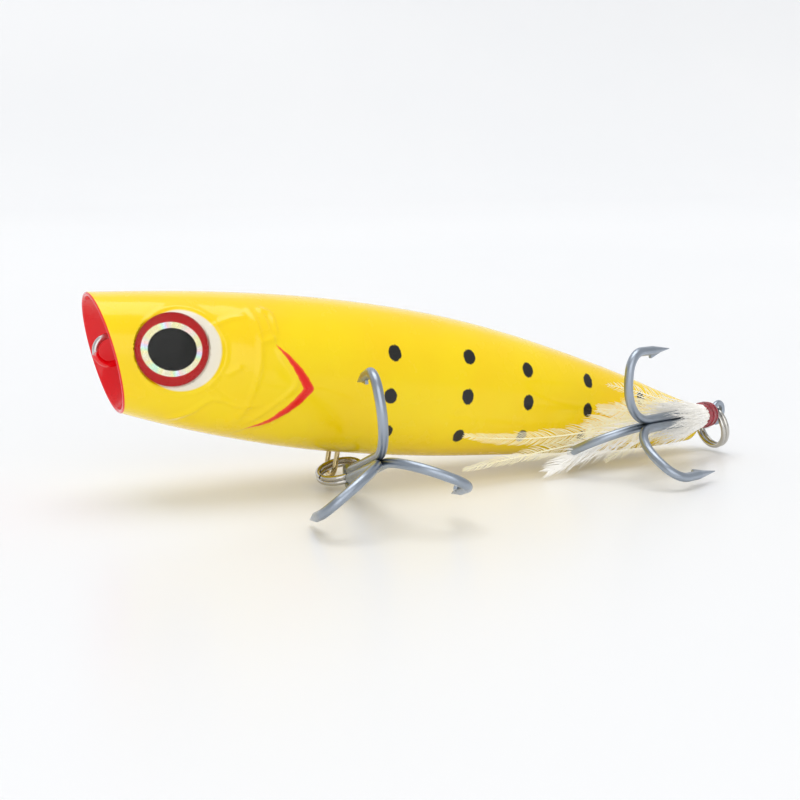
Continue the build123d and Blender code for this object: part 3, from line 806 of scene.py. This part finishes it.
def hair():
    """Stiff straight hairs that leave the wrap all round the shanks."""
    tie, shank, side, up = tie_place()
    strands = Strands()
    random.seed(5)
    for _ in range(HAIR_COUNT):
        a = random.uniform(0, 2 * pi)
        r = random.uniform(*HAIR_ROOT)
        out = side * cos(a) + up * sin(a)
        length = random.uniform(*HAIR_LENGTH)
        flare = random.uniform(*HAIR_FLARE)
        bend = random.uniform(-0.06, 0.08)
        twist = random.uniform(-0.12, 0.12)
        around = -side * sin(a) + up * cos(a)
        path = []
        for k in range(len(HAIR_RADII)):
            s = k / (len(HAIR_RADII) - 1)
            far = out * (r + length * s * flare + length * bend * s * s) + around * (twist * length * s * s)
            path.append(tie - shank * HAIR_UNDER_WRAP * MM + (shank * length * s + far) * MM)
        strands.tube(path, [w * MM for w in HAIR_RADII], sides=3)
    obj = strands.build("white_hair_tie")
    obj.data.materials.append(HAIR)
    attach(obj, "rear_hook")
    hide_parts("hair_bundle")
    return obj


def feather(name, nodes, route, width, facing, seed, material, barbs, angle, bare=0.06, fluff=0.35):
    """A hackle feather: a tapered quill with barbs down both sides, each a curved tapered strand."""
    strands = Strands()
    random.seed(seed)
    quill = bezier(*[np.array(p) * MM for p in route], QUILL_STEPS)
    strands.tube(quill, np.linspace(*QUILL_RADII, QUILL_STEPS) * MM, sides=6)
    tangent = np.gradient(quill, axis=0)
    tangent /= np.linalg.norm(tangent, axis=1)[:, None]
    facing = np.array(facing, float)
    for edge in (-1, 1):
        for k in range(barbs):
            share = bare + (0.995 - bare) * (k + random.uniform(-0.3, 0.3)) / barbs
            share = min(max(share, bare), 0.995)
            f = share * (QUILL_STEPS - 1)
            i = min(int(f), QUILL_STEPS - 2)
            start = quill[i] * (1 - f + i) + quill[i + 1] * (f - i)
            t = tangent[i]
            n = facing - t * (facing @ t)
            n /= np.linalg.norm(n)
            out = np.cross(n, t) * edge
            envelope = min(1.0, (share - bare) / 0.18 + 0.35) * (1 - share) ** 0.55 * 1.25 + 0.10
            length = width / 2 * envelope * random.uniform(0.82, 1.08) / sin(angle)
            lean = angle * random.uniform(0.88, 1.12)
            loose = fluff * random.uniform(-1, 1) * (1.4 - share)
            path = []
            for step in range(len(BARB_RADII)):
                s = step / (len(BARB_RADII) - 1)
                turn = lean * (1 - 0.35 * s)
                go = t * cos(turn) + out * sin(turn)
                path.append(start + (go * length * s + n * (loose * length * 0.35 * s * s)) * MM)
            strands.tube(path, np.array(BARB_RADII) * MM, sides=4, flatten=BARB_FLATNESS, flat_dir=n)
    obj = strands.build(name)
    obj.data.materials.append(material)
    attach(obj, "rear_hook")
    if nodes:
        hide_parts(*nodes)
    return obj


def feathers():
    """Two long hackles, a drooping plume and the webby hackles and wisps at the tie."""
    tie, _, side, up = tie_place()
    root = tie / MM + side * 2.3
    flat = (0.12, -0.98, 0.10)
    turned = (0.2, -0.97, 0.1)

    def off(*steps):
        return [root + np.array(step) for step in steps]

    # the long feathers and the plume end at places given in the row frame, in millimetres
    long_upper = [root + up * 0.9, *off((-18, 1.6, -1.8)), (84.0, -12.5, -22.4), (64.5, -15.6, -18.2)]
    long_lower = [root - up * 0.6, *off((-18, 1.3, -3.6)), (82.0, -12.2, -23.6), (64.5, -15.4, -25.0)]
    plume = [root - up * 1.2, *off((-14, -1.0, -1.2)), (92.0, -14.0, -23.6), (83.6, -15.0, -27.0)]
    web = [root + up * 0.4, *off((-8, -0.2, 0.4), (-17, -1.6, 0.6), (-27, -3.6, -0.8))]
    feather("feather_long_upper", ["feather_upper_long"], long_upper, 5.6, flat, 21, CREAM, 84, 0.62,
            fluff=0.5)
    feather("feather_long_lower", ["feather_lower_long"], long_lower, 5.0, flat, 22, CREAM, 84, 0.62,
            fluff=0.5)
    feather("feather_white_plume", ["feather_plume"], plume, 8.0, turned, 23, WHITE_WEB, 76, 0.42, fluff=0.8)
    feather("feather_hackle_web", ["feather_web"], web, 11.5, turned, 24, CREAM, 84, 0.7, fluff=1.0)
    wisps = [
        ("feather_wisp_upper", (-5, 0.4, 3.0), (-12, -0.6, 6.0), (-22, -2.8, 8.2), 4.6, 31, 26),
        ("feather_wisp_middle", (-6, 0.2, 1.0), (-14, -0.8, 1.6), (-24, -2.6, 3.4), 7.0, 32, 46),
        ("feather_wisp_lower", (-6, 0.4, -2.2), (-13, -1.0, -5.0), (-22, -2.6, -7.6), 5.0, 33, 30),
        ("feather_wisp_tuft", (-3, -0.6, 1.6), (-6, -1.6, 3.4), (-11, -3.0, 4.2), 4.5, 34, 20),
    ]
    for name, near, middle, far, width, seed, count in wisps:
        feather(name, [], [root, *off(near, middle, far)], width, turned, seed, WEB_CREAM, count, 0.75,
                fluff=1.0, bare=0.2)


# ================================================================ stage

def stage():
    """A pale glossy floor that curves up into a backdrop."""
    low = CAD_BOX[0].z - FLOOR_GAP
    back, radius = FLOOR_BACK, BACKDROP_CURVE
    path = [(FLOOR_FRONT, low), (back - radius, low)]
    for k in range(1, 17):
        a = pi / 2 * k / 16
        path.append((back - radius + radius * sin(a), low + radius * (1 - cos(a))))
    path.append((back, low + BACKDROP_HEIGHT))
    verts = []
    for y, z in path:
        verts += [(-FLOOR_WIDTH, y, z), (FLOOR_WIDTH, y, z)]
    obj = add_object("floor", verts, grid_faces(len(path), 2, flip=True))
    mat, nodes, links, bsdf = new_material("pale_floor")
    tone = spread(nodes, links, noise(nodes, links, 3.0), 0.3, 0.7)
    links.new(mixed(nodes, links, tone, (0.88, 0.885, 0.895), (0.90, 0.90, 0.905)), bsdf.inputs["Base Color"])
    setup(bsdf, Roughness=0.32, IOR=1.35)
    obj.data.materials.append(mat)


def far_light(name, toward, strength, spread_deg, colour=(1, 1, 1)):
    """Light from a wide, distant panel; toward is the direction in which it shines."""
    data = bpy.data.lights.new(name, "SUN")
    data.energy = strength
    data.angle = radians(spread_deg)
    data.color = colour
    obj = bpy.data.objects.new(name, data)
    obj.rotation_euler = Vector(toward).to_track_quat("-Z", "Y").to_euler()
    bpy.context.scene.collection.objects.link(obj)


def lighting():
    """A wide overhead panel, a front panel and a bright, even surround."""
    far_light("overhead_panel", (0.05, -0.10, -1.0), 1.22, 50)
    far_light("front_panel", (0.25, 1.0, -0.30), 0.88, 60)
    world = bpy.data.worlds.new("surround")
    world.use_nodes = True
    world.node_tree.nodes["Background"].inputs["Color"].default_value = (0.97, 0.985, 1.0, 1)
    world.node_tree.nodes["Background"].inputs["Strength"].default_value = 0.61
    bpy.context.scene.world = world
    bpy.context.scene.view_settings.view_transform = "Standard"


def camera():
    """The camera, low and to the front left."""
    data = bpy.data.cameras.new("camera")
    data.lens = CAMERA_LENS
    data.clip_start = 0.01
    obj = bpy.data.objects.new("camera", data)
    obj.location = CAMERA_AT
    obj.rotation_euler = (Vector(CAMERA_TARGET) - obj.location).to_track_quat("-Z", "Y").to_euler()
    bpy.context.scene.collection.objects.link(obj)
    bpy.context.scene.camera = obj


# ================================================================ making

camera()
PAINT = body_paint()
EYE_PRINT = eye_print()
# the pale hair and feathers carry a painted glow: emission standing for the light passed on between strands
HAIR = fibre("white_hair", (0.98, 0.97, 0.94), (0.90, 0.87, 0.80), rough=0.42, scale=500, painted_glow=0.16)
CREAM = fibre("cream_hackle", (0.98, 0.93, 0.70), (0.95, 0.84, 0.52), rough=0.5, scale=260, painted_glow=0.16)
WEB_CREAM = fibre("pale_web", (0.98, 0.95, 0.80), (0.95, 0.87, 0.58), rough=0.55, scale=300, painted_glow=0.16)
WHITE_WEB = fibre("white_web", (0.98, 0.97, 0.94), (0.93, 0.90, 0.84), rough=0.55, scale=300, painted_glow=0.16)
THREAD = fibre("red_thread", (0.42, 0.012, 0.030), (0.20, 0.004, 0.014), rough=0.25, scale=900, sheen=0.1)
setup(THREAD.node_tree.nodes["Principled BSDF"], Coat_Weight=0.9, Coat_Roughness=0.08)

HOOK_STEEL = metal("hook_steel", (0.40, 0.45, 0.52), 0.34, scale=900.0, tarnish=0.22)
NICKEL = metal("ring_nickel", (0.62, 0.60, 0.56), 0.16, scale=1200.0, tarnish=0.2)
BRASS_WIRE = metal("hanger_wire", (0.66, 0.52, 0.26), 0.2, scale=1200.0)
STEEL_BALL = metal("rattle_steel", (0.7, 0.7, 0.72), 0.12)
WEIGHT = metal("weight_metal", (0.28, 0.28, 0.30), 0.55, depth=0.0001)
CRIMP = metal("crimp_copper", (0.60, 0.34, 0.20), 0.3)
CAD_LOOKS = {
    "through_wire": tow_wire(),
    "belly_hanger": BRASS_WIRE,
    "belly_weight": WEIGHT,
    "tail_weight": WEIGHT,
    "rattle_tube": plastic("rattle_tube", (0.75, 0.76, 0.78)),
    "rattle_ball_front": STEEL_BALL,
    "rattle_ball_rear": STEEL_BALL,
    "front_crimp": CRIMP,
    "rear_crimp": CRIMP,
    "left_eye_dome": clear_dome(),
    "front_split_ring": NICKEL,
    "rear_split_ring": NICKEL,
    "front_hook_single": HOOK_STEEL,
    "front_hook_double": HOOK_STEEL,
    "rear_hook_single": HOOK_STEEL,
    "rear_hook_double": HOOK_STEEL,
}
CAD_LOOKS["right_eye_dome"] = CAD_LOOKS["left_eye_dome"]
for node, look in CAD_LOOKS.items():
    NODES[node].material_slots[0].material = look

body_half("painted_body_left", -1, "left_shell")
body_half("painted_body_right", 1, "right_shell")
eye_disc("left_eye_print", -1, "left_eye_disc")
eye_disc("right_eye_print", 1, "right_eye_disc")
thread_turns()
hair()
feathers()
stage()
lighting()
